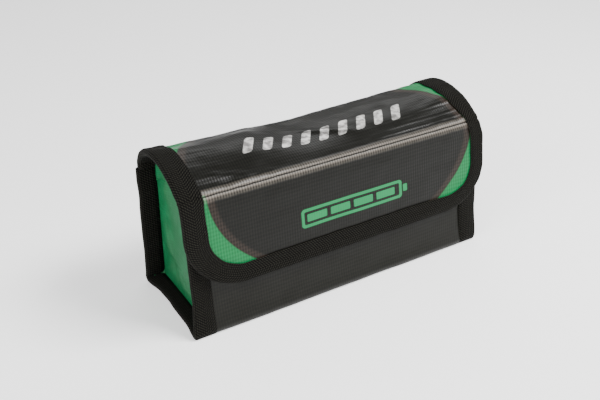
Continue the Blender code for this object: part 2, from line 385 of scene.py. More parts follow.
def dome_height(x, reach):
    share = reach / crease_reach
    if not 0.0 < share < 1.0:
        return 0.0
    arch = math.sin(math.pi * share)
    ends = 1.2 + 1.7 * bell(x, -96 * mm, 24 * mm) + 1.2 * bell(x, 93 * mm, 16 * mm)
    dent_width = 25 * mm if x < -8 * mm else 37 * mm
    dent = -5.0 * bell(x, -8 * mm, dent_width) * arch ** 0.5
    ridge = 0.9 * bell(x + 0.35 * (reach - 0.03), -40 * mm, 7 * mm)
    fold = 0.8 * bell(x - 1.6 * (reach - 0.034), 3 * mm, 5 * mm) * bell(reach, 34 * mm, 11 * mm)
    hollow = -0.7 * bell(x - 0.8 * (reach - 0.03), 34 * mm, 12 * mm) * bell(reach, 30 * mm, 14 * mm)
    waves = 0.45 * ripple(x, reach, 34 * mm, 17 * mm, 3.1)
    return (ends + dent + ridge + fold + hollow + waves) * arch * mm


def crease_height(x, reach):
    away = (reach - crease_reach) / mm - 0.8 + 0.35 * ripple(x, 0.0, 9 * mm, 1.0, 7.7)
    roll = 0.30 * bell(abs(away), 2.3, 1.3)
    groove = -0.55 * bell(away, 0.0, 0.45)
    pleats = 0.0
    for index in range(4):
        strength = 0.16 * smooth(-40 * mm + index * 25 * mm, 30 * mm + index * 15 * mm, x)
        pleats += strength * bell(away, -6.0 - 3.4 * index, 0.8)
    return (roll + groove + pleats) * mm


def front_height(x, reach):
    away = reach - crease_reach
    if away < 0.0:
        return 0.0
    depth = hem_reach - crease_reach
    inside = smooth(0.0, 9 * mm, away)
    edge = smooth(0.0, 12 * mm, depth - away)
    hollow = -0.45 * bell(x, 15 * mm, 60 * mm) * edge
    waves = 0.28 * ripple(x, reach, 42 * mm, 24 * mm, 5.2)
    return (hollow + waves) * inside * mm


def wall_height(x, reach):
    if reach > 0.0:
        return 0.0
    end = smooth(0.0, 14 * mm, 92 * mm - abs(x))
    from_hinge = smooth(0.0, 10 * mm, -reach)
    front_middle = front_foot_reach + 2.0 * mm
    back_middle = back_foot_reach + 2.0 * mm
    foot = 0.9 * bell(reach, front_middle, 6 * mm) + 1.3 * bell(reach, front_middle, 1.9 * mm)
    foot += 0.6 * bell(reach, back_middle, 6 * mm) + 1.3 * bell(reach, back_middle, 1.9 * mm)
    floor_sag = 0.5 * smooth(front_foot_reach, front_foot_reach + 6 * mm, reach)
    floor_sag *= smooth(back_foot_reach, back_foot_reach - 6 * mm, reach)
    waves = 0.35 * (0.6 + ripple(x, reach, 46 * mm, 26 * mm, 9.4))
    on_wall = 1.0 - floor_sag * 2
    return (foot + floor_sag + max(waves, 0.0) * on_wall) * end * from_hinge * mm


def clean_height(x, reach):
    return (dome_height(x, reach) + crease_height(x, reach) + front_height(x, reach)
            + wall_height(x, reach))


def flap_shift(x, reach):
    """The flap hangs a little to the left of the body."""
    on_flap = smooth(-8 * mm, 14 * mm, reach)
    low = smooth(crease_reach + 12 * mm, hem_reach - 12 * mm, reach)
    right = smooth(crease_reach, crease_reach + 12 * mm, reach) * smooth(30 * mm, 92 * mm, x)
    return x * (1 - 0.008 * on_flap * (1 - low)) - (1.1 - 0.6 * low) * on_flap * mm + 2.6 * mm * right


print("dent", round(dome_height(-9 * mm, 0.45 * crease_reach) / mm, 2), "mm")

# %% [markdown]
# ## Letting the cloth settle
# Dents listed one by one look designed, so a cloth simulation adds the small buckles. A coarse grid on the
# same outline has its edges and folds pinned, where the tape and the creases hold the real cloth, and is
# told that it is slightly too big for its frame. It buckles by a fraction of a millimetre. Only the heights
# are kept, as a table that any layer can read smoothly.

# %% Settled heights
def stations(*marks):
    """Reaches along the outline from (reach, step) marks, even between two marks."""
    rows = [marks[0][0]]
    for (start, step), (end, unused) in zip(marks, marks[1:]):
        count = max(1, round(abs(end - start) / step))
        rows += [start + (end - start) * (index + 1) / count for index in range(count)]
    return rows


class Settled:
    """Heights on a grid of columns and rows, read between its points with a smooth curve."""

    def __init__(self, heights, half, rows):
        self.heights = np.pad(heights, 1, mode="edge")
        self.half = half
        self.rows = np.array(rows)

    def at(self, x, reach):
        if not self.rows[0] < reach < self.rows[-1] or abs(x) > self.half:
            return 0.0
        row = float(np.interp(reach, self.rows, np.arange(len(self.rows)))) + 1.0
        column = (x / self.half + 1.0) / 2.0 * (self.heights.shape[1] - 3) + 1.0
        total = 0.0
        for r, row_weight in spline_weights(row, self.heights.shape[0]):
            for c, column_weight in spline_weights(column, self.heights.shape[1]):
                total += self.heights[r, c] * row_weight * column_weight
        return total


def spline_weights(place, count):
    """The four neighbours of a place on a row of points, and how much each counts."""
    base = int(place)
    share = place - base
    weights = ((1 - share) ** 3 / 6, (3 * share ** 3 - 6 * share ** 2 + 4) / 6,
               (-3 * share ** 3 + 3 * share ** 2 + 3 * share + 1) / 6, share ** 3 / 6)
    return [(min(max(base - 1 + i, 0), count - 1), weight) for i, weight in enumerate(weights)]


def grid_mesh(columns, rows, place_at):
    """A grid from create_grid, each of whose points goes where place_at(column, row) says."""
    bm = bmesh.new()
    bmesh.ops.create_grid(bm, x_segments=columns, y_segments=rows, size=1.0)
    bm.verts.index_update()
    spots = {}
    for vert in bm.verts:
        column = round((vert.co.x + 1.0) / 2.0 * columns)
        row = round((vert.co.y + 1.0) / 2.0 * rows)
        spots[vert.index] = (column, row)
        vert.co = place_at(column, row)
    return bm, spots


settling_frames = 20
cloth_settings = {"quality": 6, "mass": 0.15, "tension_stiffness": 60, "compression_stiffness": 60,
                  "shear_stiffness": 25, "bending_stiffness": 1.2, "vertex_group_mass": "pinned"}


def settle_grid(columns, rows, place_at, growth):
    """Lets a grid with held edges buckle. Gives where each (column, row) started and ended."""
    bm, spots = grid_mesh(columns, rows, place_at)
    mesh = bpy.data.meshes.new("settling")
    bm.to_mesh(mesh)
    bm.free()
    starts = {spots[vert.index]: vert.co.copy() for vert in mesh.vertices}
    piece = bpy.data.objects.new("settling", mesh)
    scene = bpy.context.scene
    scene.collection.objects.link(piece)
    pinned = [index for index, (column, row) in spots.items() if column in (0, columns) or row in (0, rows)]
    piece.vertex_groups.new(name="pinned").add(pinned, 1.0, "REPLACE")
    cloth = piece.modifiers.new("cloth", "CLOTH")
    for name, value in cloth_settings.items():
        setattr(cloth.settings, name, value)
    cloth.settings.shrink_min = -growth
    cloth.settings.effector_weights.gravity = 0.15
    cloth.collision_settings.use_collision = False
    cloth.point_cache.frame_start = 1
    cloth.point_cache.frame_end = settling_frames
    for frame_number in range(1, settling_frames + 1):
        scene.frame_set(frame_number)
    shown = piece.evaluated_get(bpy.context.evaluated_depsgraph_get())
    ends = {spots[vert.index]: vert.co.copy() for vert in shown.to_mesh().vertices}
    shown.to_mesh_clear()
    bpy.data.objects.remove(piece)
    scene.frame_set(1)
    return starts, ends


def settle_flap(rows, growth, limit, seed):
    """Settles one stretch of the flap and gives its heights."""
    def place_at(column, row):
        x = settled_half * (2.0 * column / settled_columns - 1.0)
        point, outward = wrap.at(rows[row])
        lift = clean_height(x, rows[row]) + 0.15 * mm * ripple(x, rows[row], 11 * mm, 9 * mm, seed)
        return Vector((x, point.x + outward.x * lift, point.y + outward.y * lift))

    starts, ends = settle_grid(settled_columns, len(rows) - 1, place_at, growth)
    heights = np.zeros((len(rows), settled_columns + 1))
    for (column, row), start in starts.items():
        outward = wrap.at(rows[row])[1]
        moved = (ends[column, row] - start).dot(Vector((0.0, outward.x, outward.y)))
        heights[row, column] = limit * math.tanh(moved / limit)
    print("settled from", round(heights.min() / mm, 2), "to", round(heights.max() / mm, 2), "mm")
    return Settled(heights, settled_half, rows)


settled_half = 91 * mm
settled_columns = 84
settled_step = 2.2 * mm
settled_parts = []
dome_rows = stations((4 * mm, settled_step), (crease_reach, settled_step))
front_rows = stations((crease_reach, settled_step), (hem_reach, settled_step))
settled_parts.append(settle_flap(dome_rows, growth=0.004, limit=1.2 * mm, seed=1.5))
settled_parts.append(settle_flap(front_rows, growth=0.002, limit=0.7 * mm, seed=2.5))


def cloth_height(x, reach):
    """Height of the cloth over the clean outline."""
    total = clean_height(x, reach)
    for part in settled_parts:
        total += part.at(x, reach)
    return total


def pull_foot(point):
    """The full case pushes its front foot forward, most at the floor."""
    push = 1.6 * mm * (1.0 - smooth(0.0, 25 * mm, point.z))
    point.y -= push * min(max(point.y / front_foot, 0.0), 1.0)
    return point


def on_cloth(x, reach, depth=0.0):
    """The point of the case at x along it and reach down the cloth, a depth under its face."""
    point, outward = wrap.at(reach)
    lift = cloth_height(x, reach) - depth
    height = max(point.y + outward.y * lift, 0.1 * mm + depth)
    place = Vector((flap_shift(x, reach), point.x + outward.x * lift, height))
    return pull_foot(place) if reach < 0.0 else place


print("settled stretches", len(settled_parts))

# %% [markdown]
# ## Finishes
# The outer cloth is woven glass with a thin coat of dark rubber, so it shows two sets of ribs and a soft
# gloss. The flap has a print on it: a large dark oval that leaves green in the four corners, with a thin
# brown-grey ring, a plain row of silver bars and a battery sign. All of it is worked out from the
# cloth's own lengths, so the ribs and the print run on over every fold. A pale band along the crease,
# brightest on the ribs, is a painted highlight. Slow changes in the coat alter the gloss only.

# %% Woven cloth
rib_pitch = 1.5 * mm
line_pitch = 2.1 * mm


def weave(along, down):
    """Ribs across the cloth and lines along it, as one height from 0 to 1."""
    rib = along.wave(rib_pitch)
    line = down.wave(line_pitch)
    return rib * 0.6 + line * 0.4


def scuffs(paint, place):
    """Slow changes in the coat, about 0.4 to 0.6 in the middle."""
    return paint.cloud(place, 55.0, 4.0)


def coated_cloth():
    paint = Paint("coated_cloth")
    along, down, place = paint.cloth_place()
    height = weave(along, down)
    scuff = scuffs(paint, place)
    tone = paint.mix(height, colour(7, 7, 5), colour(22, 22, 16))
    return paint.finish(tone, scuff * 0.25 + 0.34, height + paint.cloud(place, 900.0) * 0.25, 0.5,
                        0.12 * mm, specular=0.15, coat=0.02, coat_roughness=0.3)


def oval(along, down, middle_x, half_x, half_y):
    """How far out a point is from the middle of an oval on the crease: 1 on its line."""
    wide = abs((along - middle_x) / half_x).power(2.0)
    tall = abs((down - crease_reach) / half_y).power(2.0)
    return (wide + tall).power(0.5)


def box_mask(along, down, left, right, top, bottom, corner, soft):
    """1 inside a box with round corners and 0 outside."""
    wide = abs(along - (left + right) / 2) - ((right - left) / 2 - corner)
    tall = abs(down - (top + bottom) / 2) - ((bottom - top) / 2 - corner)
    wide = wide.most(0.0)
    tall = tall.most(0.0)
    far = (wide * wide + tall * tall).power(0.5)
    return 1.0 - far.step(corner - soft, corner + soft)


low_oval = (3.0 * mm, 81.4 * mm, 59.4 * mm)
high_oval = (-2.0 * mm, 85.2 * mm, 70.5 * mm)
ring_share = 0.955
print_edge = 0.15 * mm
bar_count = 9
bar_middle = crease_reach - 21.5 * mm
bar_rise = 0.5 * mm
bar_first = -47.0 * mm
bar_pitch = 11.6 * mm
bar_width = 5.6 * mm
bar_tall = 12.0 * mm
bar_slant = -0.62
sign_left = -27.3 * mm
sign_right = 40.4 * mm
sign_top = crease_reach + 23.2 * mm
sign_bottom = crease_reach + 33.9 * mm
sign_line = 1.7 * mm
knob_room = 3.5 * mm
knob_length = 2.7 * mm
cell_first = 3.4 * mm
cell_pitch = 14.6 * mm
cell_width = 12.2 * mm
cell_inset = 3.2 * mm
cell_corner = 0.6 * mm


def silver_bars(along, down):
    """A plain row of slanted bars along the dome, a little higher at the left."""
    slanted = along - (down - bar_middle) * bar_slant
    mask = None
    for index in range(bar_count):
        left = bar_first + index * bar_pitch
        place = bar_middle + (index - (bar_count - 1) / 2) * bar_rise
        bar = box_mask(slanted, down, left, left + bar_width, place - bar_tall / 2,
                       place + bar_tall / 2, 1.6 * mm, print_edge)
        mask = bar if mask is None else mask.most(bar)
    return mask


def battery_sign(along, down):
    """A battery lying on its side: a frame, a knob at its end and four bars of charge."""
    def box(left, right, inset, corner):
        return box_mask(along, down, left, right, sign_top + inset, sign_bottom - inset, corner, print_edge)

    frame_right = sign_right - knob_room
    outside = box(sign_left, frame_right, 0.0, 2.0 * mm)
    inside = box(sign_left + sign_line, frame_right - sign_line, sign_line, 0.9 * mm)
    mask = (outside - inside).most(box(sign_right - knob_length, sign_right, cell_inset, cell_corner))
    for index in range(4):
        left = sign_left + cell_first + cell_pitch * index
        mask = mask.most(box(left, left + cell_width, cell_inset, cell_corner))
    return mask


def printed_cloth():
    paint = Paint("printed_cloth")
    along, down, place = paint.cloth_place()
    height = weave(along, down)
    scuff = scuffs(paint, place)
    below = down.step(crease_reach - 0.01 * mm, crease_reach + 0.01 * mm)
    out = oval(along, down, *low_oval) * below + oval(along, down, *high_oval) * (1.0 - below)
    dark = 1.0 - out.step(1.0 - 0.006, 1.0 + 0.006)
    core = 1.0 - out.step(ring_share - 0.018, ring_share + 0.010)
    coat = paint.mix(height, colour(3, 3, 2), colour(17, 17, 12))
    ring_tone = paint.mix(height, colour(20, 16, 13), colour(45, 37, 31))
    green = paint.mix(height, colour(8, 88, 46), colour(16, 112, 62))
    tone = paint.mix(dark, green, ring_tone)
    tone = paint.mix(core, tone, coat)
    tone = paint.mix(battery_sign(along, down), tone, colour(18, 118, 68))
    bars = silver_bars(along, down)
    wear = paint.cloud(place, 240.0).step(0.35, 0.65)
    foil = paint.mix(wear, colour(120, 118, 116), colour(214, 212, 208))
    tone = paint.mix(bars, tone, foil)
    away = abs(down - crease_reach - 0.8 * mm + paint.cloud(place, 160.0) * 1.0 * mm - 0.5 * mm)
    # Painted highlight: a pale grey-beige band along both sides of the crease, brightest on the ribs,
    # stands in for the lamps' glint there.
    painted_crease_highlight = (1.0 - away.step(0.6 * mm, 4.2 * mm)) * (0.15 + height * 0.85)
    tone = paint.mix(painted_crease_highlight * 0.55, tone, colour(150, 142, 132))
    crack = 1.0 - away.step(0.15 * mm, 0.45 * mm)
    tone = paint.mix(crack * 0.9, tone, colour(14, 14, 13))
    paint.feed(paint.shader.inputs["Metallic"], bars * 0.85)
    return paint.finish(tone, scuff * 0.22 + 0.24 + crack * 0.3, height + paint.cloud(place, 900.0) * 0.2,
                        0.55, 0.13 * mm, specular=0.13, coat=0.04, coat_roughness=0.22)


def green_cloth():
    paint = Paint("green_cloth")
    along, down, place = paint.cloth_place()
    height = along.wave(1.1 * mm) * 0.75 + down.wave(1.4 * mm) * 0.25
    tone = paint.mix(height, colour(5, 62, 33), colour(14, 96, 54))
    patch = paint.cloud(place, 70.0)
    tone = paint.mix(patch.step(0.45, 0.75) * 0.3, tone, colour(34, 126, 80))
    return paint.finish(tone, patch * 0.2 + 0.42, height + paint.cloud(place, 1100.0) * 0.3, 0.5,
                        0.1 * mm, specular=0.2)


def binding_tape():
    """Woven polyester tape: fine ribs across it that meet in a shallow V along its middle."""
    paint = Paint("binding_tape")
    across, along, place = paint.cloth_place()
    slanted = along + abs(across - 6.0 * mm) * 0.8
    ribs = slanted.wave(1.5 * mm)
    rows = across.wave(1.2 * mm)
    fuzz = paint.cloud(place, 1500.0, 4.0)
    height = ribs * 0.45 + rows * 0.3 + fuzz * 0.45
    tone = paint.mix(height.step(0.5, 0.9), colour(0, 0, 0), colour(34, 33, 28))
    return paint.finish(tone, fuzz * 0.2 + 0.78, height, 1.0, 0.35 * mm, specular=0.07, sheen=0.01,
                        sheen_roughness=0.5)


def lining_cloth():
    paint = Paint("lining_cloth")
    along, down, place = paint.cloth_place()
    height = along.wave(1.3 * mm) * 0.5 + down.wave(1.3 * mm) * 0.5
    tone = paint.mix(height, colour(140, 142, 140), colour(186, 188, 186))
    patch = paint.cloud(place, 90.0)
    tone = paint.mix(patch.step(0.4, 0.8) * 0.25, tone, colour(120, 122, 120))
    paint.feed(paint.shader.inputs["Metallic"], patch * 0.3 + 0.1)
    return paint.finish(tone, patch * 0.2 + 0.42, height + paint.cloud(place, 900.0) * 0.2, 0.5, 0.1 * mm)


def fibre(name, dark, light, scale, distance):
    """A rough, fibrous finish: wadding, board, hook tape or loop tape."""
    paint = Paint(name)
    place = paint.node("ShaderNodeTexCoord").outputs["Object"]
    fine = paint.cloud(place, scale, 5.0, 0.7)
    tone = paint.mix(fine.step(0.3, 0.7), dark, light)
    return paint.finish(tone, fine * 0.2 + 0.75, fine, 0.7, distance, specular=0.12)


coated = coated_cloth()
printed = printed_cloth()
green = green_cloth()
tape = binding_tape()
silver_lining = lining_cloth()
wadding = fibre("wadding", colour(176, 176, 172), colour(206, 206, 202), 700.0, 0.3 * mm)
board = fibre("grey_board", colour(150, 146, 138), colour(186, 182, 174), 500.0, 0.1 * mm)
pile = fibre("closure_pile", colour(10, 10, 10), colour(38, 38, 37), 1800.0, 0.4 * mm)
thread = fibre("thread", colour(2, 2, 2), colour(14, 14, 13), 2500.0, 0.1 * mm)
print("materials", len(bpy.data.materials))

# %% [markdown]
# ## Making a piece of cloth
# Each cloth starts as a flat grid whose points are carried onto the outline. Its own lengths become its
# UV map, so the pattern knows where it is. A Solidify modifier gives the thickness inwards, and is
# applied to the mesh.

# %% Pieces from grids
def make_object(name, bm, material):
    """A named, smooth object from a bmesh, with its place in its mesh."""
    for face in bm.faces:
        face.smooth = True
    mesh = bpy.data.meshes.new(name)
    bm.to_mesh(mesh)
    bm.free()
    mesh.materials.append(material)
    piece = bpy.data.objects.new(name, mesh)
    bpy.context.scene.collection.objects.link(piece)
    return piece


def bake_modifiers(piece):
    """Turns what the modifiers show into the piece's own mesh."""
    bpy.context.view_layer.update()
    shown = piece.evaluated_get(bpy.context.evaluated_depsgraph_get())
    mesh = bpy.data.meshes.new_from_object(shown)
    piece.modifiers.clear()
    old = piece.data
    piece.data = mesh
    bpy.data.meshes.remove(old)
    mesh.name = piece.name
    return piece


def thicken(piece, thickness):
    solid = piece.modifiers.new("thickness", "SOLIDIFY")
    solid.thickness = thickness
    solid.offset = -1.0
    solid.use_even_offset = False
    return bake_modifiers(piece)


def face_towards(bm, wanted):
    """Turns all faces round if the middle one looks away from the wanted direction."""
    bm.faces.ensure_lookup_table()
    bm.normal_update()
    middle = bm.faces[len(bm.faces) // 2]
    if middle.normal.dot(wanted(middle.calc_center_median())) < 0.0:
        bmesh.ops.reverse_faces(bm, faces=bm.faces)


def cloth_piece(name, columns, rows, place_at, uv_at, thickness, material, wanted):
    """A sheet of cloth from a grid: its points, its own lengths and its thickness."""
    bm, spots = grid_mesh(columns, rows, place_at)
    layer = bm.loops.layers.uv.new("cloth")
    for face in bm.faces:
        for loop in face.loops:
            loop[layer].uv = uv_at(*spots[loop.vert.index])
    face_towards(bm, wanted)
    piece = make_object(name, bm, material)
    return thicken(piece, thickness)


def size_of(piece):
    """The piece's longest sides in millimetres, to print."""
    low = [min(corner[axis] for corner in piece.bound_box) for axis in range(3)]
    high = [max(corner[axis] for corner in piece.bound_box) for axis in range(3)]
    return [round((b - a) / mm, 1) for a, b in zip(low, high)]


# %% [markdown]
# ## The outer cloth
# The real case has one strip of cloth from the front rim to the hem, which bends at two joints. It
# bends at two joints, and a piece can only bend at one, so the strip is cut across the back of the
# dome, where nothing bends, and both halves use the same points there. The front corners of the flap
# are rounded by drawing the grid's rows in.

# %% Outer cloth
body_half = 89.4 * mm
flap_half = 90.9 * mm
raw_half = 91.6 * mm
left_corner = 31.0 * mm
right_corner = 26.0 * mm
skin = 0.5 * mm


def flap_sides(reach, edge=flap_half):
    """Left and right x of the flap's cloth, which draws in round its lower corners."""
    sides = []
    for radius in (left_corner, right_corner):
        into = max(0.0, reach - (hem_reach - radius))
        drawn = radius - math.sqrt(max(0.0, radius ** 2 - min(into, radius * 0.995) ** 2))
        sides.append(edge - drawn)
    return -sides[0], sides[1]


def away_from_middle(point):
    """Outwards, as seen from the end: the way that the outer cloth faces."""
    return Vector((0.0, point.y, point.z - 45 * mm))


def wrapped_sheet(name, rows, sides_at, columns, place, thickness, material):
    """A sheet whose rows run across the outline, each between its own two sides."""
    def uv_at(column, row):
        left, right = sides_at(rows[row])
        return left + (right - left) * column / columns, rows[row]

    def place_at(column, row):
        return place(*uv_at(column, row))

    return cloth_piece(name, columns, len(rows) - 1, place_at, uv_at, thickness, material,
                       away_from_middle)


body_rows = stations((rim_reach, 1.6 * mm), (front_foot_reach - 4 * mm, 0.6 * mm),
                     (front_foot_reach + 7 * mm, 1.8 * mm), (back_foot_reach - 6 * mm, 0.6 * mm),
                     (back_foot_reach + 5 * mm, 1.8 * mm), (-8 * mm, 0.7 * mm), (split_reach, 1.0))
body_cloth = wrapped_sheet("body_cloth", body_rows, lambda reach: (-body_half, body_half), 110, on_cloth,
                           skin, coated)
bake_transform(body_cloth)
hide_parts("outer_wrap")
print("body cloth", size_of(body_cloth), "mm")

# %% Flap cloth
flap_rows = stations((split_reach, 0.9 * mm), (crease_reach - 5 * mm, 0.28 * mm),
                     (crease_reach + 5 * mm, 0.9 * mm), (hem_reach, 1.0))
flap_cloth = wrapped_sheet("flap_cloth", flap_rows, flap_sides, 180, on_cloth, skin, printed)
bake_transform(flap_cloth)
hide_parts("flap_top_skin", "flap_front_skin")
print("flap cloth", size_of(flap_cloth), "mm", len(flap_cloth.data.polygons), "faces")

# %% [markdown]
# ## The lining
# The silver lining is a second sheet, a few layers further in. Between the end walls it is narrower than
# the outer cloth, and it widens as it leaves the body for the flap. In the body it may only sag
# inwards, because stiff boards fill the space behind it.

# %% Lining
room_half = 81.9 * mm
lining = 0.45 * mm
lining_inset = 0.4 * mm


def lining_sides(reach):
    wide = smooth(-1 * mm, 5 * mm, reach)
    half = room_half + (flap_half - lining_inset - room_half) * wide
    return -half, half


def lining_depth(reach):
    return 2.2 * mm - 0.5 * mm * smooth(-10 * mm, 4 * mm, reach)


def lining_place(x, reach):
    """A point on the lining's outer face."""
    if reach > 0.0:
        return on_cloth(x, reach, lining_depth(reach))
    point, outward = wrap.at(reach)
    on_wall = smooth(0.0, 9 * mm, -reach) * smooth(0.0, 7 * mm, abs(reach - front_foot_reach))
    on_wall *= smooth(0.0, 7 * mm, abs(reach - back_foot_reach))
    sag = 0.5 * mm * max(0.0, 0.5 + ripple(x, reach, 30 * mm, 22 * mm, 12.3)) * on_wall
    depth = lining_depth(reach) + sag
    return Vector((flap_shift(x, reach), point.x - outward.x * depth, point.y - outward.y * depth))


wall_lining = wrapped_sheet("wall_lining", body_rows, lining_sides, 90, lining_place, lining,
                            silver_lining)
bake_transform(wall_lining)
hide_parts("lining_wrap")

lining_rows = stations((split_reach, 1.5 * mm), (crease_reach - 5 * mm, 0.5 * mm),
                       (crease_reach + 5 * mm, 1.5 * mm), (hem_reach, 1.0))
flap_lining = wrapped_sheet("flap_lining", lining_rows,
                            lambda reach: flap_sides(reach, flap_half - lining_inset), 110,
                            lining_place, lining, silver_lining)
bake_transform(flap_lining)
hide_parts("flap_top_lining", "flap_front_lining")
print("wall lining", size_of(wall_lining), "flap lining", size_of(flap_lining), "mm")

# %% [markdown]
# ## Padding and boards
# A thin sheet of wadding fills the flap between its two cloths, in two parts, so that the crease can
# fold. The boards in the walls are flat, stiff and never seen, so they stay as the frame has them.

# %% Padding
def padding_piece(name, rows, body, node):
    piece = wrapped_sheet(name, rows, lambda reach: flap_sides(reach, flap_half - 1.2 * mm), 90,
                          lambda x, reach: on_cloth(x, reach, 0.75 * mm), 0.6 * mm, wadding)
    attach(piece, body)
    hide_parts(node)
    return piece


dome_padding = padding_piece("dome_padding", stations((6 * mm, 1.8 * mm), (crease_reach - 3 * mm, 1.0)),
                             "flap_top", "flap_top_padding")
front_padding = padding_piece("front_padding",
                              stations((crease_reach + 3 * mm, 1.8 * mm), (hem_reach - 1 * mm, 1.0)),
                              "flap_front", "flap_front_padding")
for node_name in ("front_board", "bottom_board", "back_board"):
    node = bpy.data.objects[node_name]
    for index in range(len(node.material_slots)):
        node.material_slots[index].material = board
print("padding", size_of(dome_padding), size_of(front_padding), "mm")

# %% [markdown]
# ## Binding tape
# Every raw edge is closed with a woven tape, folded over it and sewn. Its section is a U: an outer leg,
# a round fold and an inner leg. A grid is carried along the edge with that section across it. The tape
# is never quite straight, so its legs and its fold wander by a few tenths of a millimetre.

# %% Tape on the flap
tape_thickness = 0.55 * mm
side_leg = 11.6 * mm
hem_leg = 9.9 * mm
flap_tape_inner = 3.1 * mm


def tape_section(leg, inner_leg, low, high):
    """(inwards, depth) points of a folded tape's outer face, from leg edge to leg edge."""
    radius = (high - low) / 2
    centre = radius - tape_depth
    middle = (high + low) / 2
    outer = [(leg, low + 0.28 * mm), (leg - 0.35 * mm, low + 0.06 * mm), (leg * 0.7, low - 0.02 * mm),
             (leg * 0.4, low + 0.05 * mm), (leg * 0.22, low)]
    fold = []
    for step in range(9):
        angle = math.pi * step / 8
        fold.append((centre - radius * math.sin(angle), middle - radius * math.cos(angle)))
    inner = [(inner_leg * 0.35, high), (inner_leg * 0.7, high + 0.05 * mm), (inner_leg, high - 0.2 * mm)]
    return outer + fold + inner


def section_lengths(section):
    return lengths_along([Vector(point) for point in section])


def tape_piece(name, stops, section_at, place, seed, wanted):
    """A folded tape along stops; place(stop, inwards, depth) gives each point."""
    count = len(section_at(stops[0])) - 1
    travelled = lengths_along([place(stop, 0.0, 0.0) for stop in stops])

    def place_at(column, row):
        inwards, depth = section_at(stops[row])[column]
        wander = 0.30 * mm * wobble(travelled[row] / (11 * mm), seed)
        fine = 0.10 * mm * wobble(travelled[row] / (3 * mm), seed, column * 0.5)
        edge = 0.35 * mm * wobble(travelled[row] / (14 * mm), seed + 5.0)
        edge *= max(0.0, inwards / side_leg)
        sunk = abs(fine) * (1 if depth < mm else -1)
        return place(stops[row], inwards + wander * 0.6 + edge, depth - sunk)

    def uv_at(column, row):
        return section_lengths(section_at(stops[row]))[column], travelled[row]

    return cloth_piece(name, count, len(stops) - 1, place_at, uv_at, tape_thickness, tape,
                       wanted)


def right_leg(reach):
    """The right side's tape is folded off centre below the dome, so less of it shows."""
    return side_leg - 3.2 * mm * smooth(crease_reach - 24 * mm, crease_reach + 4 * mm, reach)


def corner_stops(middle, radius, first_angle, count, first_leg, last_leg):
    """Stops round a lower corner of the flap, over a quarter turn."""
    stops = []
    for step in range(1, count + 1):
        share = step / count
        angle = first_angle + math.pi / 2 * step / count
        stops.append((middle + radius * math.cos(angle), hem_reach - radius - radius * math.sin(angle),
                      -math.cos(angle), math.sin(angle), first_leg + (last_leg - first_leg) * share))
    return stops


def flap_edge():
    """Stops round the flap's edge, (x, reach, inward x, inward reach, leg), from left to right."""
    side = stations((split_reach, 1.5 * mm), (crease_reach - 4 * mm, 0.45 * mm),
                    (crease_reach + 4 * mm, 1.5 * mm), (hem_reach - left_corner, 1.0))
    stops = [(-raw_half, reach, 1.0, 0.0, side_leg) for reach in side]
    stops += corner_stops(-raw_half + left_corner, left_corner, math.pi, 24, side_leg, hem_leg)
    hem_stops = stations((-raw_half + left_corner, 1.8 * mm), (raw_half - right_corner, 1.0))
    stops += [(x, hem_reach, 0.0, -1.0, hem_leg) for x in hem_stops[1:]]
    stops += corner_stops(raw_half - right_corner, right_corner, 1.5 * math.pi, 20, hem_leg,
                          right_leg(hem_reach))
    side = stations((hem_reach - right_corner, 1.5 * mm), (crease_reach + 4 * mm, 0.45 * mm),
                    (crease_reach - 4 * mm, 1.5 * mm), (split_reach, 1.0))
    stops += [(raw_half, reach, -1.0, 0.0, right_leg(reach)) for reach in side[1:]]
    return stops


def flap_tape_section(stop):
    return tape_section(stop[4], stop[4], -tape_depth, flap_tape_inner)


def flap_tape_place(stop, inwards, depth):
    x, reach, in_x, in_reach = stop[:4]
    return on_cloth(x + in_x * inwards, reach + in_reach * inwards, depth)


flap_stops = flap_edge()
flap_tape = tape_piece("flap_tape", flap_stops, flap_tape_section, flap_tape_place, 1.0,
                       lambda point: Vector((0.0, -1.0, -0.3)))
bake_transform(flap_tape)
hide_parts("flap_front_binding", "flap_top_left_binding", "flap_top_right_binding")
print("flap tape", size_of(flap_tape), "mm along", len(flap_stops), "stops")

# %% Tape across the hinge
both_ends = (("left", -1), ("right", 1))
for word, side in both_ends:
    rows = stations((-3.7 * mm, 0.7 * mm), (split_reach, 1.0))
    if side > 0:
        rows = rows[::-1]
    stops = [(side * raw_half, reach, -side, 0.0, side_leg) for reach in rows]
    piece = tape_piece(word + "_hinge_tape", stops, flap_tape_section, flap_tape_place, 2.0 + side,
                       lambda point: Vector((point.x * 4.0, 1.0, 0.0)))
    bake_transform(piece)

# %% [markdown]
# ## Tape on the two ends of the body
# Each end seam stands out as a flange round three sides, closed by a tape. The flange takes the knocks,
# so it bows and flares a little, most at the bottom.

# %% End tapes
tape_line = Line(wall_points(0.0, 3.4 * mm))
tape_front_foot = float(tape_line.reach[5])
tape_back_foot = float(tape_line.reach[14])
end_half = 92.5 * mm
end_inner_leg = 8.6 * mm
end_tape_inner = 2.4 * mm
end_back_top = float(tape_line.last) - 3.8 * mm


def flare(side, reach):
    """How far an end flange stands out beyond its straight line."""
    on_floor = smooth(tape_front_foot, tape_front_foot + 14 * mm, reach)
    on_floor *= smooth(tape_back_foot, tape_back_foot - 14 * mm, reach)
    waves = 0.35 * wobble(reach / (16 * mm), side * 3.0, 4.0)
    if side < 0:
        back_flare = 1.0 * smooth(tape_back_foot - 16 * mm, tape_back_foot, reach)
        front_tuck = 1.9 * smooth(tape_front_foot + 2 * mm, tape_front_foot - 22 * mm, reach)
        return (waves + back_flare - 1.3 * on_floor - front_tuck) * mm
    return (waves + 0.3 - 0.6 * on_floor) * mm


